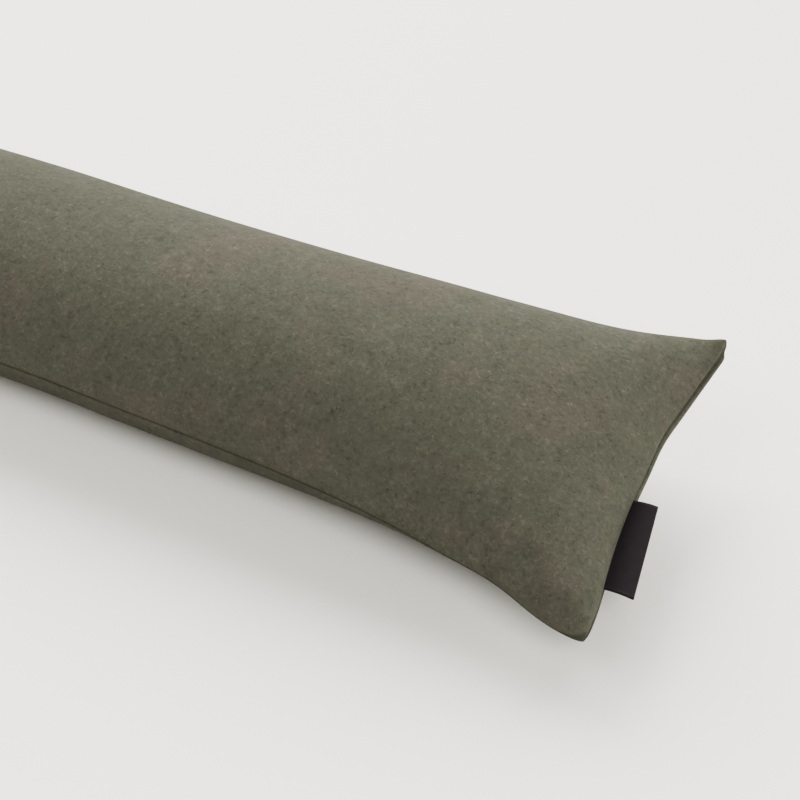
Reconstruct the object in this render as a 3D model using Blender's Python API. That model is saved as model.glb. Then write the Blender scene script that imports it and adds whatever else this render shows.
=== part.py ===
"""A draught excluder: a long filled cushion that lies along the foot of a door.

Two equal panels of thick felted cloth are sewn together along their edges, turned and filled. The filling
crowns both panels and draws the end seams in, and the corners stand out flat, as ears. A folded ribbon
label is caught in the end seam at +X.

The origin is in the flat patch that the cushion rests on, under the middle of its length. +X runs along
the cushion to the end with the label, +Y points at the back seam and +Z up. Lengths are in metres.
"""

import math
from collections import namedtuple

import bmesh
import bpy
import numpy as np

# The cushion along its middle stretch
HALF_LENGTH = 0.445  # from the middle to the line between the two corners of an end
FRONT_HALF_WIDTH = 0.0728
BACK_HALF_WIDTH = 0.0735
SEAM_HEIGHT = 0.0385  # of the long seams above the floor
CROWN = 0.0493  # of the top panel above the seams
FLATTENING = 0.0045  # by which the weight flattens the round underside

# The widening from the middle stretch to the flat corners
CORNER_HALF_WIDTH = 0.0958
FLARE_SHARE = 0.376  # the part of the widening that is long and slow
FLARE_LONG = 0.0786
FLARE_FRONT = 0.0655
FLARE_BACK = 0.0438
CORNER_POWER = 8
ROUNDING_REACH = 0.0105  # how far from an end its corners are rounded off

# The filling's swell behind an end seam
SWELL_LENGTH = 0.1475
SWELL_POWER = 2.3
SWELL_FULLNESS = 0.55
LEAN_LENGTH = 0.100  # over which the swell is fuller towards one corner
EAR_LENGTH = 0.050  # over which the top panel's section turns from round to lens-shaped
EAR_THINNING = 0.30
UNDERSIDE_LENGTH = 0.125  # the same for the bottom panel
UNDERSIDE_THINNING = 0.62
FRONT_RISE_LENGTH = 0.1161  # over which the long seams rise or drop to the corners
BACK_RISE_LENGTH = 0.1048
DRAW_IN_LENGTH = 0.060
DRAW_IN_POWER = 2.2

# Each end: the height of its two corners, how far the seam between them sags and is drawn in, how much
# its corners are rounded off, how far the bottom panel stands out past the seam at each corner, and how
# much fuller the top is towards the front
End = namedtuple(
    "End", "side front_height back_height sag drawn_in front_round back_round front_roll back_roll lean"
)
ENDS = (
    End(+1, 0.0240, 0.0569, 0.0035, 0.0135, 0.0070, 0.0044, 0.0006, 0.0040, 0.65),
    End(-1, 0.0455, 0.0360, 0.0030, 0.0125, 0.0050, 0.0062, 0.0022, 0.0016, -0.40),
)

# Small dents of the seams: on which side or end, where along x or across it, how long and how deep
Dent = namedtuple("Dent", "side place spread depth")
SIDE_DENTS = (
    Dent(-1, 0.392, 0.020, 0.0028),
    Dent(-1, 0.130, 0.030, 0.0008),
    Dent(-1, -0.240, 0.035, 0.0009),
    Dent(+1, 0.330, 0.025, 0.0008),
    Dent(+1, -0.090, 0.040, 0.0010),
    Dent(+1, -0.380, 0.020, 0.0012),
)
END_DENTS = (
    Dent(+1, 0.30, 0.15, 0.0011),
    Dent(-1, -0.25, 0.20, 0.0012),
)
DENT_FADE = 0.012  # how far a dent of an end seam reaches into the panels

# The panels' edges roll over into the seams, with the seam allowances inside them: a low ridge along each
# seam, higher along the ends, and a thick tip where the allowances are folded up inside a corner
SIDE_SEAM_DEPTH = 0.0007  # of the groove between the two rolls, along the sides
END_SEAM_DEPTH = 0.0012
GROOVE_POWER = 2
ROLL_WIDTH = 0.0024
SIDE_RIDGE = 0.0006
END_RIDGE = 0.0016
RIDGE_FADE = 0.0100
MIDDLE_ROLL = 0.0012  # how far the bottom panel stands out past the middle of an end seam
ROLL_DROP = 0.0042  # how far below the seam it stands out most
TIP_HEIGHT = 0.0043
TIP_REACH = 0.0095
TIP_ROUNDING = 0.0034
UNDERSIDE_SHARE = 0.35  # of the ridges and tips on the bottom panel

# Soft lumps and hollows of the filling: panel, place along x and across from -1 at the front seam to 1 at
# the back seam, length, share of the half width, and height
Lump = namedtuple("Lump", "top x across long wide height")
LUMPS = (
    Lump(True, 0.055, 0.70, 0.050, 0.50, 0.0012),
    Lump(True, 0.160, 0.65, 0.060, 0.50, -0.0011),
    Lump(True, 0.290, 0.65, 0.040, 0.50, 0.0007),
    Lump(True, 0.378, 0.60, 0.025, 0.50, -0.0006),
    Lump(True, 0.235, -0.35, 0.045, 0.45, 0.0009),
    Lump(True, 0.120, -0.30, 0.050, 0.40, -0.0010),
    Lump(True, -0.050, -0.10, 0.060, 0.50, 0.0011),
    Lump(True, -0.150, 0.45, 0.050, 0.45, -0.0012),
    Lump(True, -0.230, -0.35, 0.055, 0.50, 0.0012),
    Lump(True, -0.330, 0.20, 0.045, 0.50, -0.0010),
    Lump(False, 0.340, -0.75, 0.025, 0.35, -0.0009),
    Lump(False, 0.410, -0.80, 0.022, 0.35, 0.0008),
    Lump(False, 0.060, 0.75, 0.060, 0.35, -0.0010),
    Lump(False, -0.170, -0.75, 0.060, 0.35, 0.0011),
    Lump(False, -0.330, 0.75, 0.050, 0.35, -0.0010),
)

# The soft trough that the label's inner end pulls into the top panel
TROUGH_X = (0.400, 0.436)
TROUGH_ACROSS = -0.17
TROUGH_WIDTH = 0.075
TROUGH_DEPTH = 0.0026

# The mesh of a panel
ROWS_ALONG = 64
ROWS_ACROSS = 24
END_CROWDING = 0.95  # how much the rows crowd towards the ends

# The label: a ribbon folded once, with both of its ends in the end seam
RIBBON_THICKNESS = 0.0010
RIBBON_GAP = 0.0004  # between its two layers
LABEL_ACROSS = (-0.652, -0.125)  # its front and back edge on the end seam, in half widths
LABEL_ROOT = 0.0011  # from the bottom of the seam's groove, just clear of the cloth beside it
LABEL_PROUD = (0.0150, 0.0126)  # how far its front and back edge stand out of the groove
LABEL_TURN = 0.0012  # by which its outer edge lies further back than its root
LABEL_LIFT = (-0.0008, 0.0008)  # of the outer edge above the root
LABEL_SECTIONS = 8
FOLD_STEPS = 6
HALFWAY = 0.5

CLOTH_COLOUR = (0.170, 0.167, 0.130, 1.0)
LABEL_COLOUR = (0.032, 0.026, 0.030, 1.0)

def matt_material(name, colour, roughness):
    """A cloth's material: no metal, no shine."""
    material = bpy.data.materials.new(name)
    material.use_nodes = True
    shader = material.node_tree.nodes["Principled BSDF"]
    shader.inputs["Base Color"].default_value = colour
    shader.inputs["Roughness"].default_value = roughness
    shader.inputs["Metallic"].default_value = 0.0
    return material

def new_object(name, bm, material):
    """Turn a finished bmesh into an object with smooth faces."""
    mesh = bpy.data.meshes.new(name)
    bmesh.ops.recalc_face_normals(bm, faces=bm.faces)
    bm.to_mesh(mesh)
    bm.free()
    mesh.materials.append(material)
    mesh.shade_smooth()
    mesh.set_sharp_from_angle(angle=math.radians(50))
    thing = bpy.data.objects.new(name, mesh)
    bpy.context.scene.collection.objects.link(thing)
    return thing

def half_width(distance, across):
    """Half the width between the long seams, this far from the corners, on the front or the back side."""
    middle = np.where(across < 0, FRONT_HALF_WIDTH, BACK_HALF_WIDTH)
    short = np.where(across < 0, FLARE_FRONT, FLARE_BACK)
    slow = FLARE_SHARE * np.exp(-distance / FLARE_LONG)
    quick = (1 - FLARE_SHARE) * np.exp(-((distance / short) ** 2))
    return middle + (CORNER_HALF_WIDTH - middle) * (slow + quick)

def unfilled_panel(nominal_x, across):
    """Where the panel would lie between its seams without its filling: x, y and z of each point."""
    edge = np.abs(across)
    x = nominal_x.copy()
    z = np.full_like(x, SEAM_HEIGHT)
    rounding = 0 * x
    rise_length = (FRONT_RISE_LENGTH * (1 - across) + BACK_RISE_LENGTH * (1 + across)) / 2
    for end in ENDS:
        at_end = HALF_LENGTH - end.side * nominal_x
        corners = (end.front_height * (1 - across) + end.back_height * (1 + across)) / 2
        rise = corners - SEAM_HEIGHT - end.sag * (1 - across**2)
        z += rise * np.exp(-((at_end / rise_length) ** 2))
        cut = np.where(across < 0, end.front_round, end.back_round)
        cut = cut * edge**CORNER_POWER * np.exp(-at_end / ROUNDING_REACH)
        drawn_in = end.drawn_in * (1 - edge**DRAW_IN_POWER) * np.exp(-at_end / DRAW_IN_LENGTH)
        x -= end.side * (drawn_in + cut)
        rounding += cut
    y = across * half_width(HALF_LENGTH - np.abs(nominal_x), across) - np.sign(across) * rounding
    for dent in SIDE_DENTS:
        near = np.exp(-(((nominal_x - dent.place) / dent.spread) ** 2))
        y -= dent.side * dent.depth * near * edge**2 * (dent.side * across > 0)
    for dent in END_DENTS:
        at_end = HALF_LENGTH - dent.side * nominal_x
        near = np.exp(-(((across - dent.place) / dent.spread) ** 2) - at_end / DENT_FADE)
        x -= dent.side * dent.depth * near
    return x, y, z

def lumps(top, x, across):
    """The sum of the filling's lumps and hollows on one panel."""
    height = 0 * x
    for lump in LUMPS:
        if lump.top == top:
            away = ((x - lump.x) / lump.long) ** 2 + ((across - lump.across) / lump.wide) ** 2
            height = height + lump.height * np.exp(-away)
    return height

def trough(x, across):
    """The crease that runs in from the label's inner end: deepest at the seam, gone at its far end."""
    start, end = TROUGH_X
    along = np.clip((x - start) / (end - start), 0, 1)
    return TROUGH_DEPTH * along * np.exp(-(((across - TROUGH_ACROSS) / TROUGH_WIDTH) ** 2))

def filling_height(nominal_x, across, x, top):
    """How far the filling pushes the panel off its unfilled place."""
    left = np.clip(1 - (HALF_LENGTH - np.abs(nominal_x)) / SWELL_LENGTH, 0, 1)
    swell = (1 - left**SWELL_POWER) ** SWELL_FULLNESS
    swell_power = 1 + 0 * x
    arch_power = 0.5 + 0 * x
    for end in ENDS:
        at_end = HALF_LENGTH - end.side * nominal_x
        if top:
            swell_power += end.lean * across * np.exp(-at_end / LEAN_LENGTH)
            thinned = (1 + np.sign(end.lean) * across) / 2
            arch_power += EAR_THINNING * thinned * np.exp(-at_end / EAR_LENGTH)
        else:
            arch_power += UNDERSIDE_THINNING * np.exp(-((at_end / UNDERSIDE_LENGTH) ** 2))
    arch = swell**swell_power * np.clip(1 - across**2, 0, 1) ** arch_power
    if top:
        return (CROWN + lumps(top, x, across)) * arch - trough(x, across) * np.sqrt(arch)
    return (SEAM_HEIGHT + FLATTENING + lumps(top, x, across)) * arch

def rounded(share):
    """A quarter round: 0 at the seam, rising steeply, and level at 1 from a share of 1 on."""
    return np.sqrt(1 - (1 - np.clip(share, 0, 1)) ** 2)

def groove(depth, from_seam):
    """How far a point this far from a seam is drawn in by it."""
    return depth * (1 - np.clip(from_seam / ROLL_WIDTH, 0, 1)) ** GROOVE_POWER

def bottom_roll(nominal_x, across, from_end, from_side):
    """How far the bottom panel stands out past the end seams, in +X and -X."""
    out = 0 * nominal_x
    for end in ENDS:
        at_corner = np.where(across < 0, end.front_roll, end.back_roll)
        most = MIDDLE_ROLL + (at_corner - MIDDLE_ROLL) * np.abs(across) ** 3
        hump = from_end / ROLL_DROP * np.exp(1 - from_end / ROLL_DROP)
        out += end.side * (end.side * nominal_x > 0) * most * hump
    return out * np.clip(from_side / ROLL_WIDTH, 0, 1)

def panel_points(nominal_x, across, top):
    """Points of the filled panel: nominal_x is the place along it, and across runs from -1 at the front
    seam to 1 at the back seam. Both are arrays, and the result has a row of x, y and z for each point."""
    x, y, seam_z = unfilled_panel(nominal_x, across)
    height = filling_height(nominal_x, across, x, top)
    if not top:
        height = np.minimum(height, seam_z)

    to_end = HALF_LENGTH - np.abs(nominal_x)
    to_side = half_width(to_end, across) * (1 - np.abs(across))
    from_end = np.hypot(height, to_end)
    from_side = np.hypot(height, to_side)
    from_seam = np.minimum(from_end, from_side)
    at_tip = np.exp(-(to_end**2 + to_side**2) / TIP_REACH**2)
    ridge = END_RIDGE * np.exp(-from_end / RIDGE_FADE) + SIDE_RIDGE * np.exp(-from_side / RIDGE_FADE)
    edge = ridge * rounded(from_seam / ROLL_WIDTH) + TIP_HEIGHT * at_tip * rounded(from_seam / TIP_ROUNDING)
    height = height + edge * (1.0 if top else UNDERSIDE_SHARE)

    x -= np.sign(nominal_x) * groove(END_SEAM_DEPTH, from_end) * (1 - at_tip)
    y -= np.sign(across) * groove(SIDE_SEAM_DEPTH, from_side) * (1 - at_tip)
    if top:
        z = seam_z + height
    else:
        z = np.maximum(seam_z - height, 0.0)
        x += bottom_roll(nominal_x, across, from_end, from_side)
    return np.stack([x, y, z], axis=-1)

def panel(bm, top):
    """Add one panel to the bmesh: a flat grid that is then shaped to the filled cloth."""
    flat = bmesh.ops.create_grid(bm, x_segments=ROWS_ALONG, y_segments=ROWS_ACROSS, size=1.0)
    places = np.array([vert.co for vert in flat["verts"]])
    along = places[:, 0]
    crowded = np.sin(along * math.pi / 2)
    nominal_x = HALF_LENGTH * ((1 - END_CROWDING) * along + END_CROWDING * crowded)
    across = np.round(np.sin(places[:, 1] * math.pi / 2), 6)
    for vert, point in zip(flat["verts"], panel_points(nominal_x, across, top)):
        vert.co = point

def cushion(material):
    """The two panels, joined along their seams round the filling."""
    bm = bmesh.new()
    panel(bm, top=True)
    panel(bm, top=False)
    bmesh.ops.remove_doubles(bm, verts=bm.verts, dist=0.00001)
    return new_object("cushion", bm, material)

def ribbon_profile():
    """The folded ribbon's middle line: share of the way from root to fold, bulge of the fold, height."""
    radius = (RIBBON_GAP + RIBBON_THICKNESS) / 2
    fold = [math.pi / 2 - math.pi * step / FOLD_STEPS for step in range(FOLD_STEPS + 1)]
    bend = [(1.0, radius * math.cos(angle), radius * math.sin(angle)) for angle in fold]
    upper = [(0.0, 0.0, radius), (HALFWAY, 0.0, radius)]
    lower = [(HALFWAY, 0.0, -radius), (0.0, 0.0, -radius)]
    return upper + bend + lower

def label(material):
    """The ribbon: its root follows the end seam, and its fold is straight."""
    share = np.linspace(0, 1, LABEL_SECTIONS + 1)
    across = LABEL_ACROSS[0] + (LABEL_ACROSS[1] - LABEL_ACROSS[0]) * share
    seam = panel_points(np.full_like(across, HALF_LENGTH), across, top=True)
    root = seam + np.array([LABEL_ROOT, 0, 0])
    corners = [
        seam[row] + np.array([proud, LABEL_TURN, lift])
        for row, proud, lift in zip((0, -1), LABEL_PROUD, LABEL_LIFT)
    ]
    radius = (RIBBON_GAP + RIBBON_THICKNESS) / 2
    fold_back = np.array([radius + RIBBON_THICKNESS / 2, 0, 0])
    profile = ribbon_profile()

    bm = bmesh.new()
    previous = None
    for row, along in enumerate(share):
        fold = corners[0] + (corners[1] - corners[0]) * along - fold_back
        line = [
            bm.verts.new(root[row] + (fold - root[row]) * out + np.array([bulge, 0, height]))
            for out, bulge, height in profile
        ]
        if previous:
            for left in range(len(profile) - 1):
                bm.faces.new((previous[left], previous[left + 1], line[left + 1], line[left]))
        previous = line
    ribbon = new_object("label", bm, material)
    wall = ribbon.modifiers.new("ribbon thickness", "SOLIDIFY")
    wall.thickness = RIBBON_THICKNESS
    wall.offset = 0.0
    wall.use_even_offset = True
    return ribbon

def main():
    for old in list(bpy.data.objects):
        bpy.data.objects.remove(old)
    cushion(matt_material("felted cloth", CLOTH_COLOUR, 0.95))
    label(matt_material("ribbon", LABEL_COLOUR, 0.7))

main()
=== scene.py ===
import math
from collections import namedtuple

import bpy
import numpy as np
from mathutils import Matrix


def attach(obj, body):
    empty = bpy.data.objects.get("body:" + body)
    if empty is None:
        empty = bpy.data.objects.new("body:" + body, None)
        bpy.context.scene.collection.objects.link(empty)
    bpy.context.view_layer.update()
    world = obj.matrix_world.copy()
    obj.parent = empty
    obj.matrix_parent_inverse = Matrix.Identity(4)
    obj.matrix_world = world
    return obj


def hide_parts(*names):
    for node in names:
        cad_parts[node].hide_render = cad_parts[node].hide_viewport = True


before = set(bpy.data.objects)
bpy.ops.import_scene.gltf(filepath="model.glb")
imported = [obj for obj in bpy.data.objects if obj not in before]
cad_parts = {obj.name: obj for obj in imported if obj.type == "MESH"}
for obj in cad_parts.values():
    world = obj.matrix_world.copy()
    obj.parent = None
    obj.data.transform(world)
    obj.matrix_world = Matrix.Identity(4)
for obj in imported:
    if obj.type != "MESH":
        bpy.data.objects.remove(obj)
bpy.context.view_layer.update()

# The filled cushion. Two equal panels of thick melange wool felt are sewn face to face along their edges,
# turned and filled with fibre. The filling crowns both panels and draws the end seams in, the cloth rolls
# over into the seam from both sides, and the four corners stand out flat, as ears.
HALF_LENGTH = 0.445  # from the middle to the line between the two corners of an end
FRONT_HALF_WIDTH = 0.0728
BACK_HALF_WIDTH = 0.0735
SEAM_HEIGHT = 0.0385  # of the long seams above the floor
CROWN = 0.0493  # of the top panel above the seams
FLATTENING = 0.0045  # by which the weight flattens the round underside

CORNER_HALF_WIDTH = 0.0958
FLARE_SHARE = 0.376  # the part of the widening towards the corners that is long and slow
FLARE_LONG = 0.0786
FLARE_FRONT = 0.0655
FLARE_BACK = 0.0438
CORNER_POWER = 8
ROUNDING_REACH = 0.0105  # how far from an end its corners are rounded off

SWELL_LENGTH = 0.1475  # over which the filling swells behind an end seam
SWELL_POWER = 2.3
SWELL_FULLNESS = 0.55
LEAN_LENGTH = 0.100  # over which the swell is fuller towards one corner
EAR_LENGTH = 0.050  # over which the top panel's section turns from round to lens-shaped
EAR_THINNING = 0.30
UNDERSIDE_LENGTH = 0.125  # the same for the bottom panel
UNDERSIDE_THINNING = 0.62
FRONT_RISE_LENGTH = 0.1161  # over which the long seams rise or drop to the corners
BACK_RISE_LENGTH = 0.1048
DRAW_IN_LENGTH = 0.060
DRAW_IN_POWER = 2.2

# Each end: the height of its two corners, how far the seam between them sags and is drawn in, how much
# its corners are rounded off, how far the bottom panel stands out past the seam at each corner, and how
# much fuller the top is towards the front
End = namedtuple(
    "End", "side front_height back_height sag drawn_in front_round back_round front_roll back_roll lean"
)
ENDS = (
    End(+1, 0.0240, 0.0569, 0.0035, 0.0135, 0.0070, 0.0044, 0.0006, 0.0040, 0.65),
    End(-1, 0.0455, 0.0360, 0.0030, 0.0125, 0.0050, 0.0062, 0.0022, 0.0016, -0.40),
)

# Small dents of the seams: on which side or end, where along x or across it, how long and how deep
Dent = namedtuple("Dent", "side place spread depth")
SIDE_DENTS = (
    Dent(-1, 0.392, 0.020, 0.0028),
    Dent(-1, 0.130, 0.030, 0.0008),
    Dent(-1, -0.240, 0.035, 0.0009),
    Dent(+1, 0.330, 0.025, 0.0008),
    Dent(+1, -0.090, 0.040, 0.0010),
    Dent(+1, -0.380, 0.020, 0.0012),
)
END_DENTS = (
    Dent(+1, 0.30, 0.15, 0.0011),
    Dent(-1, -0.25, 0.20, 0.0012),
)
DENT_FADE = 0.012  # how far a dent of an end seam reaches into the panels

# Soft lumps and hollows of the filling: panel, place along x and across from -1 at the front seam to 1 at
# the back seam, length, share of the half width, and height
Lump = namedtuple("Lump", "top x across long wide height")
LUMPS = (
    Lump(True, 0.055, 0.70, 0.050, 0.50, 0.0012),
    Lump(True, 0.160, 0.65, 0.060, 0.50, -0.0011),
    Lump(True, 0.290, 0.65, 0.040, 0.50, 0.0007),
    Lump(True, 0.378, 0.60, 0.025, 0.50, -0.0006),
    Lump(True, 0.235, -0.35, 0.045, 0.45, 0.0009),
    Lump(True, 0.120, -0.30, 0.050, 0.40, -0.0010),
    Lump(True, -0.050, -0.10, 0.060, 0.50, 0.0011),
    Lump(True, -0.150, 0.45, 0.050, 0.45, -0.0012),
    Lump(True, -0.230, -0.35, 0.055, 0.50, 0.0012),
    Lump(True, -0.330, 0.20, 0.045, 0.50, -0.0010),
    Lump(False, 0.340, -0.75, 0.025, 0.35, -0.0009),
    Lump(False, 0.410, -0.80, 0.022, 0.35, 0.0008),
    Lump(False, 0.060, 0.75, 0.060, 0.35, -0.0010),
    Lump(False, -0.170, -0.75, 0.060, 0.35, 0.0011),
    Lump(False, -0.330, 0.75, 0.050, 0.35, -0.0010),
)

# The soft trough that the label's inner end pulls into the top panel
TROUGH_X = (0.400, 0.436)
TROUGH_ACROSS = -0.17
TROUGH_WIDTH = 0.075
TROUGH_DEPTH = 0.0026

# The panels' edges roll over into the seams, with the seam allowances inside them: a low ridge along each
# seam, higher along the ends, and a thick tip where the allowances are folded up inside a corner
SIDE_SEAM_DEPTH = 0.0007  # of the groove between the two rolls, along the sides
END_SEAM_DEPTH = 0.0013
GROOVE_POWER = 5
ROLL_WIDTH = 0.0026
SIDE_RIDGE = 0.0006
END_RIDGE = 0.0016
RIDGE_FADE = 0.0100
MIDDLE_ROLL = 0.0012  # how far the bottom panel stands out past the middle of an end seam
ROLL_DROP = 0.0042  # how far below the seam it stands out most
ROLL_START = 0.0045  # how far from the corners it begins
TIP_HEIGHT = 0.0043
TIP_REACH = 0.0095
TIP_ROUNDING = 0.0034
UNDERSIDE_SHARE = 0.55  # of the ridges and tips on the bottom panel

# The mesh of a panel: rows crowd towards the seams, where the cloth turns steeply
ROWS_ALONG = 400
ROWS_ACROSS = 96
SEAM_CROWDING = 0.33


def half_width(distance, across):
    """Half the width between the long seams, this far from the corners, on the front or the back side."""
    middle = np.where(across < 0, FRONT_HALF_WIDTH, BACK_HALF_WIDTH)
    short = np.where(across < 0, FLARE_FRONT, FLARE_BACK)
    slow = FLARE_SHARE * np.exp(-distance / FLARE_LONG)
    quick = (1 - FLARE_SHARE) * np.exp(-((distance / short) ** 2))
    return middle + (CORNER_HALF_WIDTH - middle) * (slow + quick)


def unfilled_panel(nominal_x, across):
    """Where the panel would lie between its seams without its filling: x, y and z of each point."""
    edge = np.abs(across)
    x = nominal_x.copy()
    z = np.full_like(x, SEAM_HEIGHT)
    rounding = 0 * x
    rise_length = (FRONT_RISE_LENGTH * (1 - across) + BACK_RISE_LENGTH * (1 + across)) / 2
    for end in ENDS:
        at_end = HALF_LENGTH - end.side * nominal_x
        corners = (end.front_height * (1 - across) + end.back_height * (1 + across)) / 2
        rise = corners - SEAM_HEIGHT - end.sag * (1 - across**2)
        z += rise * np.exp(-((at_end / rise_length) ** 2))
        cut = np.where(across < 0, end.front_round, end.back_round)
        cut = cut * edge**CORNER_POWER * np.exp(-at_end / ROUNDING_REACH)
        drawn_in = end.drawn_in * (1 - edge**DRAW_IN_POWER) * np.exp(-at_end / DRAW_IN_LENGTH)
        x -= end.side * (drawn_in + cut)
        rounding += cut
    y = across * half_width(HALF_LENGTH - np.abs(nominal_x), across) - np.sign(across) * rounding
    for dent in SIDE_DENTS:
        near = np.exp(-(((nominal_x - dent.place) / dent.spread) ** 2))
        y -= dent.side * dent.depth * near * edge**2 * (dent.side * across > 0)
    for dent in END_DENTS:
        at_end = HALF_LENGTH - dent.side * nominal_x
        near = np.exp(-(((across - dent.place) / dent.spread) ** 2) - at_end / DENT_FADE)
        x -= dent.side * dent.depth * near
    return x, y, z


def lumps(top, x, across):
    """The sum of the filling's lumps and hollows on one panel."""
    height = 0 * x
    for lump in LUMPS:
        if lump.top == top:
            away = ((x - lump.x) / lump.long) ** 2 + ((across - lump.across) / lump.wide) ** 2
            height = height + lump.height * np.exp(-away)
    return height


def trough(x, across):
    """The crease that runs in from the label's inner end: deepest at the seam, gone at its far end."""
    start, end = TROUGH_X
    along = np.clip((x - start) / (end - start), 0, 1)
    return TROUGH_DEPTH * along * np.exp(-(((across - TROUGH_ACROSS) / TROUGH_WIDTH) ** 2))


def filling_height(nominal_x, across, x, top):
    """How far the filling pushes the panel off its unfilled place."""
    left = np.clip(1 - (HALF_LENGTH - np.abs(nominal_x)) / SWELL_LENGTH, 0, 1)
    swell = (1 - left**SWELL_POWER) ** SWELL_FULLNESS
    swell_power = 1 + 0 * x
    arch_power = 0.5 + 0 * x
    for end in ENDS:
        at_end = HALF_LENGTH - end.side * nominal_x
        if top:
            swell_power += end.lean * across * np.exp(-at_end / LEAN_LENGTH)
            thinned = (1 + np.sign(end.lean) * across) / 2
            arch_power += EAR_THINNING * thinned * np.exp(-at_end / EAR_LENGTH)
        else:
            arch_power += UNDERSIDE_THINNING * np.exp(-((at_end / UNDERSIDE_LENGTH) ** 2))
    arch = swell**swell_power * np.clip(1 - across**2, 0, 1) ** arch_power
    if top:
        return (CROWN + lumps(top, x, across)) * arch - trough(x, across) * np.sqrt(arch)
    return (SEAM_HEIGHT + FLATTENING + lumps(top, x, across)) * arch


def rounded(share):
    """A quarter round: 0 at the seam, rising steeply, and level at 1 from a share of 1 on."""
    return np.sqrt(1 - (1 - np.clip(share, 0, 1)) ** 2)


def groove(depth, from_seam):
    """How far a point this far from a seam is drawn in by it."""
    return depth * (1 - np.clip(from_seam / ROLL_WIDTH, 0, 1)) ** GROOVE_POWER


def bottom_roll(nominal_x, across, from_end, from_side):
    """How far the bottom panel stands out past the end seams, in +X and -X."""
    out = 0 * nominal_x
    for end in ENDS:
        at_corner = np.where(across < 0, end.front_roll, end.back_roll)
        most = MIDDLE_ROLL + (at_corner - MIDDLE_ROLL) * np.abs(across) ** 3
        hump = from_end / ROLL_DROP * np.exp(1 - from_end / ROLL_DROP)
        out += end.side * (end.side * nominal_x > 0) * most * hump
    return out * (1 - np.exp(-((from_side / ROLL_START) ** 2)))


def panel_points(nominal_x, across, top):
    """Points of the filled panel, and each point's distance from the nearest seam."""
    x, y, seam_z = unfilled_panel(nominal_x, across)
    height = filling_height(nominal_x, across, x, top)
    if not top:
        height = np.minimum(height, seam_z)

    to_end = HALF_LENGTH - np.abs(nominal_x)
    to_side = half_width(to_end, across) * (1 - np.abs(across))
    from_end = np.hypot(height, to_end)
    from_side = np.hypot(height, to_side)
    from_seam = np.minimum(from_end, from_side)
    at_tip = np.exp(-(to_end**2 + to_side**2) / TIP_REACH**2)
    ridge = END_RIDGE * np.exp(-from_end / RIDGE_FADE) + SIDE_RIDGE * np.exp(-from_side / RIDGE_FADE)
    edge = ridge * rounded(from_seam / ROLL_WIDTH) + TIP_HEIGHT * at_tip * rounded(from_seam / TIP_ROUNDING)
    height = height + edge * (1.0 if top else UNDERSIDE_SHARE)

    x -= np.sign(nominal_x) * groove(END_SEAM_DEPTH, from_end) * (1 - at_tip)
    y -= np.sign(across) * groove(SIDE_SEAM_DEPTH, from_side) * (1 - at_tip)
    if top:
        z = seam_z + height
    else:
        z = np.maximum(seam_z - height, 0.0)
        x += bottom_roll(nominal_x, across, from_end, from_side)
    return np.stack([x, y, z], axis=-1), from_seam


def panel_places(rows_along, rows_across, crowding):
    """The grid of a panel: the place along it, and across from -1 to 1, of each row and column."""
    along = np.linspace(-1, 1, rows_along + 1)
    across = np.linspace(-1, 1, rows_across + 1)
    across = across * (1 + crowding) - crowding * across**3
    nominal_x = HALF_LENGTH * np.sin(along * math.pi / 2)
    return np.meshgrid(nominal_x, np.sin(across * math.pi / 2), indexing="ij")


def sewn_panels(name, top_points, bottom_points):
    """One closed mesh of both panels, which share the points of their seams. Returns the object, and for
    each point of the bottom panel's grid its number in the mesh."""
    rows, columns = top_points.shape[:2]
    top_number = np.arange(rows * columns).reshape(rows, columns)
    bottom_number = top_number.copy()
    inner = (rows - 2) * (columns - 2)
    bottom_number[1:-1, 1:-1] = rows * columns + np.arange(inner).reshape(rows - 2, columns - 2)
    points = np.concatenate([top_points.reshape(-1, 3), bottom_points[1:-1, 1:-1].reshape(-1, 3)])

    faces = []
    for number, turn in ((top_number, 1), (bottom_number, -1)):
        corners = (number[:-1, :-1], number[1:, :-1], number[1:, 1:], number[:-1, 1:])
        faces += np.stack(corners[::turn], axis=-1).reshape(-1, 4).tolist()
    mesh = bpy.data.meshes.new(name)
    mesh.from_pydata(points.tolist(), [], faces)
    mesh.shade_smooth()
    thing = bpy.data.objects.new(name, mesh)
    bpy.context.scene.collection.objects.link(thing)
    return thing, bottom_number


# The cloth settles over its filling: a coarse copy of the cover, held along its seams, is blown up by a
# cloth simulation. The small moves that this makes are limited, spread smoothly and added to the panels.
SETTLING_ROWS = (150, 36)
SETTLING_FRAMES = 20
SETTLING_PRESSURE = 4.0
CLOTH_QUALITY = 6
CLOTH_MASS = 0.15
CLOTH_STIFFNESS = 30.0
CLOTH_SHEAR = 10.0
CLOTH_BENDING = 1.0
MOST_MOVE = 0.0012
SMALLEST_MOVE = 1e-9
SMOOTHING_PASSES = 8


def mesh_points(mesh):
    """The mesh's points as an array."""
    points = np.zeros(len(mesh.vertices) * 3)
    mesh.vertices.foreach_get("co", points)
    return points.reshape(-1, 3)


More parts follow.
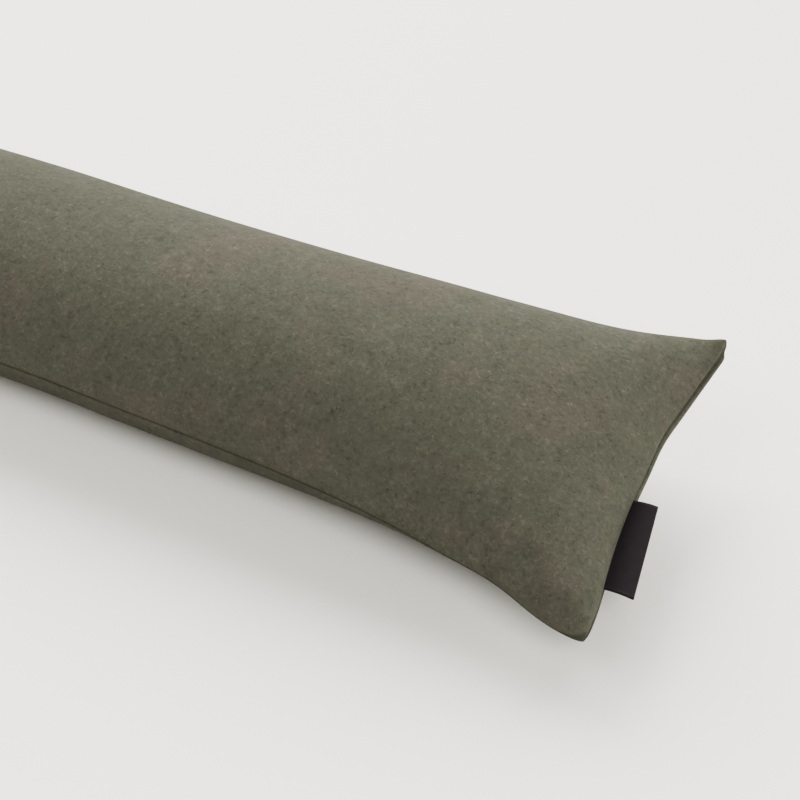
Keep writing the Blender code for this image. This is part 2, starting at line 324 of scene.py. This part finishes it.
def settled(cover, held_points):
    """Blow the cover up in a cloth simulation, and return its points' moves, none longer than MOST_MOVE."""
    held = cover.vertex_groups.new(name="held")
    held.add(held_points, 1.0, "REPLACE")
    cloth = cover.modifiers.new("cloth", "CLOTH").settings
    cloth.vertex_group_mass = held.name
    cloth.quality = CLOTH_QUALITY
    cloth.mass = CLOTH_MASS
    cloth.tension_stiffness = CLOTH_STIFFNESS
    cloth.compression_stiffness = CLOTH_STIFFNESS
    cloth.shear_stiffness = CLOTH_SHEAR
    cloth.bending_stiffness = CLOTH_BENDING
    cloth.use_pressure = True
    cloth.uniform_pressure_force = SETTLING_PRESSURE
    cloth.effector_weights.gravity = 0
    for number in range(1, SETTLING_FRAMES + 1):
        bpy.context.scene.frame_set(number)
    blown_up = cover.evaluated_get(bpy.context.evaluated_depsgraph_get())
    move = mesh_points(blown_up.data) - mesh_points(cover.data)
    bpy.data.objects.remove(cover)
    bpy.context.scene.frame_set(1)
    length = np.linalg.norm(move, axis=-1, keepdims=True)
    return move * MOST_MOVE * np.tanh(length / MOST_MOVE) / np.maximum(length, SMALLEST_MOVE)


def spread(moves, rows, columns):
    """A grid of moves, spread smoothly over a finer grid."""
    for axis, count in enumerate((rows, columns)):
        moves = np.moveaxis(moves, axis, 0)
        place = np.linspace(0, len(moves) - 1, count)
        below = np.minimum(place.astype(int), len(moves) - 2)
        share = (place - below)[:, None, None]
        moves = np.moveaxis(moves[below] * (1 - share) + moves[below + 1] * share, 0, axis)
    for _ in range(SMOOTHING_PASSES):
        moves[1:-1] = (moves[:-2] + 2 * moves[1:-1] + moves[2:]) / 4
        moves[:, 1:-1] = (moves[:, :-2] + 2 * moves[:, 1:-1] + moves[:, 2:]) / 4
    return moves


def settle(top_points, bottom_points):
    """Add the cloth's settling to both panels' points, with the underside kept on or above the floor."""
    places = panel_places(*SETTLING_ROWS, SEAM_CROWDING)
    coarse_top, _ = panel_points(*places, top=True)
    coarse_bottom, _ = panel_points(*places, top=False)
    cover, bottom_number = sewn_panels("settling_cover", coarse_top, coarse_bottom)
    top_number = np.arange(coarse_top[..., 0].size).reshape(bottom_number.shape)
    moves = settled(cover, top_number[bottom_number == top_number].tolist())
    top_points += spread(moves[top_number], *top_points.shape[:2])
    bottom_points += spread(moves[bottom_number], *bottom_points.shape[:2])
    bottom_points[..., 2] = np.maximum(bottom_points[..., 2], 0.0)


nominal_x, across = panel_places(ROWS_ALONG, ROWS_ACROSS, SEAM_CROWDING)
top_points, top_from_seam = panel_points(nominal_x, across, top=True)
bottom_points, bottom_from_seam = panel_points(nominal_x, across, top=False)
settle(top_points, bottom_points)
felt_cover, _ = sewn_panels("felt_cover", top_points, bottom_points)
from_seam = np.concatenate([top_from_seam.ravel(), bottom_from_seam[1:-1, 1:-1].ravel()])
seam_attribute = felt_cover.data.attributes.new("from_seam", "FLOAT", "POINT")
seam_attribute.data.foreach_set("value", from_seam.astype(np.float32))


class Shade:
    """A value in a material. Sums, differences and products of such values become Math nodes."""

    def __init__(self, tree, socket=None):
        self.tree = tree
        self.socket = socket

    def node(self, kind, sockets, output=0, **settings):
        """Add a node. Its settings come first, then its sockets get their values or links."""
        made = self.tree.nodes.new(kind)
        for name, value in settings.items():
            setattr(made, name, value)
        for name, value in sockets.items():
            if isinstance(value, Shade):
                self.tree.links.new(value.socket, made.inputs[name])
            else:
                made.inputs[name].default_value = value
        return Shade(self.tree, made.outputs[output])

    def maths(self, operation, first, second=0.0):
        return self.node("ShaderNodeMath", {0: first, 1: second}, operation=operation)

    def __add__(self, other):
        return self.maths("ADD", self, other)

    def __sub__(self, other):
        return self.maths("SUBTRACT", self, other)

    def __rsub__(self, other):
        return self.maths("SUBTRACT", other, self)

    def __mul__(self, other):
        return self.maths("MULTIPLY", self, other)

    def __abs__(self):
        return self.maths("ABSOLUTE", self)

    __radd__ = __add__
    __rmul__ = __mul__

    def step(self, low, high):
        """0 where this value is under low, 1 where it is over high, and smooth between."""
        sockets = {"Value": self, "From Min": low, "From Max": high}
        return self.node("ShaderNodeMapRange", sockets, interpolation_type="SMOOTHSTEP")

    def blend(self, first, second):
        """Mix two colours by this value."""
        sockets = {0: self, 6: first, 7: second}
        return self.node("ShaderNodeMix", sockets, output=2, data_type="RGBA")

    def into(self, shader, name):
        self.tree.links.new(self.socket, shader.inputs[name])


def new_material(name, fixed):
    """A material with the shader's constant sockets set, and the starting value of its tree."""
    material = bpy.data.materials.new(name)
    material.use_nodes = True
    shader = material.node_tree.nodes["Principled BSDF"]
    for socket, value in fixed.items():
        shader.inputs[socket].default_value = value
    return material, shader, Shade(material.node_tree)


# The felt's colours: green-grey wool with darker and lighter fibres, and a browner dye here and there
FELT_DARK = (0.0565, 0.0575, 0.0425, 1)
FELT_GREEN = (0.131, 0.132, 0.1045, 1)
FELT_BROWN = (0.139, 0.131, 0.107, 1)
FELT_LIGHT = (0.245, 0.240, 0.197, 1)
# Painted shadow along the seams: the colour of the shade that falls into each seam's groove, painted into
# the felt, and how much of it is mixed in
SEAM_PAINTED_SHADOW = (0.024, 0.024, 0.018, 1)
SEAM_PAINTED_SHADOW_SHARE = 0.4
SEAM_SHADOW_LINE = (0.0001, 0.0009)  # from the seam, where the painted shadow's dark line begins and has ended


def melange_felt():
    """Wool felt: a mat of short fibres of several shades, dull, with a soft sheen at grazing angles, and
    painted shadow in the seams' grooves.
    """
    fixed = {"Roughness": 0.95, "Specular IOR Level": 0.10, "Sheen Weight": 0.02, "Sheen Roughness": 0.5}
    material, shader, start = new_material("melange_felt", fixed)
    place = start.node("ShaderNodeTexCoord", {}, output=3)

    def noise(scale, detail=2.0, roughness=0.5, distortion=0.0):
        sockets = {"Vector": place, "Scale": scale, "Detail": detail, "Roughness": roughness}
        sockets["Distortion"] = distortion
        return start.node("ShaderNodeTexNoise", sockets)

    fibre = noise(1300.0, 1.0, 0.5, 1.2)
    tuft = noise(460.0, 2.0, 0.5, 0.8)
    mottle = noise(170.0, 2.0)
    cloud = noise(48.0, 2.0)
    dye = noise(17.0, 3.0, 0.6)
    strand_line = 1 - abs(noise(300.0, 0.0, 0.5, 2.0) * 2 - 1)
    strands = strand_line.step(0.91, 0.99) * tuft.step(0.48, 0.60)
    pits = noise(560.0, 0.0).step(0.66, 0.78)

    shade = 0.5 + (fibre - 0.5) * 0.10 + (tuft - 0.5) * 0.50 + (mottle - 0.5) * 0.34 + (cloud - 0.5) * 0.19
    drift = (dye + (cloud - 0.5) * 0.5).step(0.44, 0.66)
    body = drift.blend(FELT_GREEN, FELT_BROWN)
    darker = (1 - shade.step(0.12, 0.56)) * 0.62 + pits * 0.20
    lighter = shade.step(0.50, 0.90) * 0.62 + strands * 0.26
    colour = lighter.blend(darker.blend(body, FELT_DARK), FELT_LIGHT)
    # Painted shadow: close to each seam the felt's colour is darkened, for the shade in the seam's groove
    seam = start.node("ShaderNodeAttribute", {}, output=2, attribute_name="from_seam")
    shadow = 1 - seam.step(*SEAM_SHADOW_LINE)
    (shadow * SEAM_PAINTED_SHADOW_SHARE).blend(colour, SEAM_PAINTED_SHADOW).into(shader, "Base Color")
    height = shade + strands * 0.35 - pits * 0.3
    bump = start.node("ShaderNodeBump", {"Strength": 0.5, "Distance": 0.0005, "Height": height})
    bump.into(shader, "Normal")
    return material


felt_cover.data.materials.append(melange_felt())
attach(felt_cover, "root")
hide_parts("cushion")

# The label. A strip of black woven ribbon, 50 mm wide and 30 mm long, is folded once, and both of its
# ends are caught in the end seam. Its root follows the seam, and its fold is nearly straight.
RIBBON_WIDTH = 0.050
RIBBON_THICKNESS = 0.00035
RIBBON_GAP = 0.00035  # between its two layers
LABEL_ACROSS = (-0.652, -0.125)  # its front and back edge on the end seam, in half widths
LABEL_PROUD = (0.0150, 0.0126)  # how far its front and back edge stand out of the groove
LABEL_TURN = 0.0012  # by which its outer edge lies further back than its root
LABEL_LIFT = (-0.0008, 0.0008)  # of the outer edge above the root
LABEL_ARCH = 0.0006  # by which the ribbon arches up between root and fold
LABEL_TUCK = 0.0006  # of its root below the bottom of the groove
LABEL_COLUMNS = 60
LAYER_ROWS = 14
FOLD_ROWS = 8


def folded_ribbon():
    """The folded strip as one sheet, doubled back on itself at its fold, and its UV map in metres."""
    share = np.linspace(0, 1, LABEL_COLUMNS + 1)
    on_seam = LABEL_ACROSS[0] + (LABEL_ACROSS[1] - LABEL_ACROSS[0]) * share
    seam = np.stack([np.interp(on_seam, across[-1], top_points[-1, :, axis]) for axis in range(3)], axis=-1)
    root = seam - np.array([LABEL_TUCK, 0, 0])
    front, back = (
        seam[row] + np.array([proud, LABEL_TURN, lift])
        for row, proud, lift in zip((0, -1), LABEL_PROUD, LABEL_LIFT)
    )
    radius = (RIBBON_GAP + RIBBON_THICKNESS) / 2
    tip = front + (back - front) * share[:, None] - np.array([radius + RIBBON_THICKNESS / 2, 0, 0])

    out = np.linspace(0, 1, LAYER_ROWS + 1)
    turn = np.linspace(math.pi / 2, -math.pi / 2, FOLD_ROWS + 1)[1:-1]
    reach = np.concatenate([out, np.ones_like(turn), out[::-1]])
    bulge = np.concatenate([0 * out, radius * np.cos(turn), 0 * out])
    level = np.concatenate([0 * out + radius, radius * np.sin(turn), 0 * out - radius])
    arch = LABEL_ARCH * np.sin(reach * math.pi)
    line = root[:, None] + (tip - root)[:, None] * reach[None, :, None]
    line += np.stack([bulge, 0 * bulge, level + arch], axis=-1)

    steps = np.linalg.norm(np.diff(line.mean(axis=0), axis=0), axis=-1)
    along = np.concatenate([[0.0], np.cumsum(steps)])
    columns, rows = line.shape[:2]
    number = np.arange(columns * rows).reshape(columns, rows)
    corners = (number[:-1, :-1], number[:-1, 1:], number[1:, 1:], number[1:, :-1])
    faces = np.stack(corners, axis=-1).reshape(-1, 4)
    mesh = bpy.data.meshes.new("ribbon_label")
    mesh.from_pydata(line.reshape(-1, 3).tolist(), [], faces.tolist())
    uv = mesh.uv_layers.new(name="ribbon")
    flat = np.stack(np.broadcast_arrays(share[:, None] * RIBBON_WIDTH, along[None, :]), axis=-1)
    uv.data.foreach_set("uv", flat.reshape(-1, 2)[faces.ravel()].ravel())
    mesh.shade_smooth()
    thing = bpy.data.objects.new("ribbon_label", mesh)
    bpy.context.scene.collection.objects.link(thing)
    return thing


def solid_copy(thing):
    """Turn the object's evaluated form into its plain mesh, and drop its modifiers."""
    evaluated = thing.evaluated_get(bpy.context.evaluated_depsgraph_get())
    thing.data = bpy.data.meshes.new_from_object(evaluated)
    thing.modifiers.clear()


RIBBON_DARK = (0.036, 0.030, 0.034, 1)
RIBBON_LIGHT = (0.064, 0.053, 0.060, 1)
WARP_PITCH = 0.00045  # of the weave, across the ribbon
WEFT_PITCH = 0.00032  # and along it
SELVEDGE_WIDTH = 0.0011
SELVEDGE_FADE = 0.0003


def woven_ribbon():
    """Black polyester ribbon: a fine plain weave with a faint shine, and a firmer selvedge each side."""
    fixed = {"Specular IOR Level": 0.30, "Sheen Weight": 0.05}
    material, shader, start = new_material("woven_ribbon", fixed)
    flat = start.node("ShaderNodeUVMap", {}, uv_map="ribbon")
    width = start.node("ShaderNodeSeparateXYZ", {0: flat})
    length = start.node("ShaderNodeSeparateXYZ", {0: flat}, output=1)
    warp = start.maths("SINE", width * (2 * math.pi / WARP_PITCH))
    weft = start.maths("SINE", length * (2 * math.pi / WEFT_PITCH))
    weave = warp * weft
    inner_line = RIBBON_WIDTH / 2 - SELVEDGE_WIDTH
    selvedge = abs(width - RIBBON_WIDTH / 2).step(inner_line - SELVEDGE_FADE, inner_line)
    place = start.node("ShaderNodeTexCoord", {}, output=3)
    wear = start.node("ShaderNodeTexNoise", {"Vector": place, "Scale": 260.0, "Detail": 2.0})
    tone = weave * 0.20 + wear * 0.6 + selvedge * 0.25
    tone.step(-0.1, 1.0).blend(RIBBON_DARK, RIBBON_LIGHT).into(shader, "Base Color")
    (0.62 + wear * 0.25).into(shader, "Roughness")
    height = weave * (1 - selvedge) + selvedge * 1.5
    bump = start.node("ShaderNodeBump", {"Strength": 0.3, "Distance": 0.00008, "Height": height})
    bump.into(shader, "Normal")
    return material


ribbon_label = folded_ribbon()
wall = ribbon_label.modifiers.new("ribbon thickness", "SOLIDIFY")
wall.thickness = RIBBON_THICKNESS
wall.offset = 0.0
solid_copy(ribbon_label)
ribbon_label.data.materials.append(woven_ribbon())
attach(ribbon_label, "root")
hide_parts("label")

# The studio: a plain pale floor just under the cushion, and broad soft lights.
FLOOR_SIZE = 12.0
FLOOR_DROP = 0.0002
FLOOR_COLOUR = (0.885, 0.872, 0.83, 1)
FLOOR_ROUGHNESS = 0.7
floor_mesh = bpy.data.meshes.new("floor")
corner = FLOOR_SIZE / 2
floor_corners = [(-corner, -corner), (corner, -corner), (corner, corner), (-corner, corner)]
floor_mesh.from_pydata([(x, y, -FLOOR_DROP) for x, y in floor_corners], [], [(0, 1, 2, 3)])
floor = bpy.data.objects.new("floor", floor_mesh)
bpy.context.scene.collection.objects.link(floor)
floor_look = {"Base Color": FLOOR_COLOUR, "Roughness": FLOOR_ROUGHNESS}
floor_material, _, _ = new_material("pale_floor", floor_look)
floor.data.materials.append(floor_material)

# Each light: the angle from straight overhead and the compass angle it comes from, from +X towards +Y, in
# degrees, and its strength
Light = namedtuple("Light", "name overhead compass strength")
LIGHTS = (
    Light("back_left", 60, 135, 2.64),
    Light("front_right", 40, 315, 1.44),
    Light("back", 51, 90, 1.08),
    Light("right", 75, 0, 0.87),
    Light("back_right", 75, 45, 0.66),
    Light("front_left", 45, 225, 0.60),
    Light("left", 64, 180, 0.57),
)
LIGHT_SPREAD = math.radians(40)
LIGHT_COLOUR = (1.0, 0.995, 0.98)
for light in LIGHTS:
    lamp = bpy.data.lights.new(light.name, "SUN")
    lamp.energy = light.strength
    lamp.angle = LIGHT_SPREAD
    lamp.color = LIGHT_COLOUR
    thing = bpy.data.objects.new(light.name, lamp)
    thing.rotation_euler = (0, math.radians(light.overhead), math.radians(light.compass))
    bpy.context.scene.collection.objects.link(thing)

# The walls are as pale as the floor where they show, but give hardly any light
WALL_LIGHT = 0.03
WALL_BRIGHTNESS = 0.85
WALL_COLOUR = (1.0, 0.99, 0.96, 1)
world = bpy.data.worlds.new("studio")
world.use_nodes = True
walls = world.node_tree.nodes["Background"]
walls.inputs["Color"].default_value = WALL_COLOUR
shown = Shade(world.node_tree).node("ShaderNodeLightPath", {})
(shown * (WALL_BRIGHTNESS - WALL_LIGHT) + WALL_LIGHT).into(walls, "Strength")
bpy.context.scene.world = world
bpy.context.scene.view_settings.view_transform = "AgX"
bpy.context.scene.view_settings.look = "AgX - Very High Contrast"

# The camera stands in front of the label's end, above it and to its right.
CAMERA_PLACE = (0.53697, -0.45506, 0.49399)
CAMERA_TURN = 0.477
CAMERA_DIP = 0.729
LENS_LENGTH = 60.975  # in millimetres, as is the sensor's width
SENSOR_WIDTH = 36.0
NEAREST_SEEN = 0.01
camera_data = bpy.data.cameras.new("camera")
camera_data.sensor_width = SENSOR_WIDTH
camera_data.lens = LENS_LENGTH
camera_data.clip_start = NEAREST_SEEN
camera = bpy.data.objects.new("camera", camera_data)
camera.location = CAMERA_PLACE
camera.rotation_euler = (math.pi / 2 - CAMERA_DIP, 0, CAMERA_TURN)
bpy.context.scene.collection.objects.link(camera)
bpy.context.scene.camera = camera
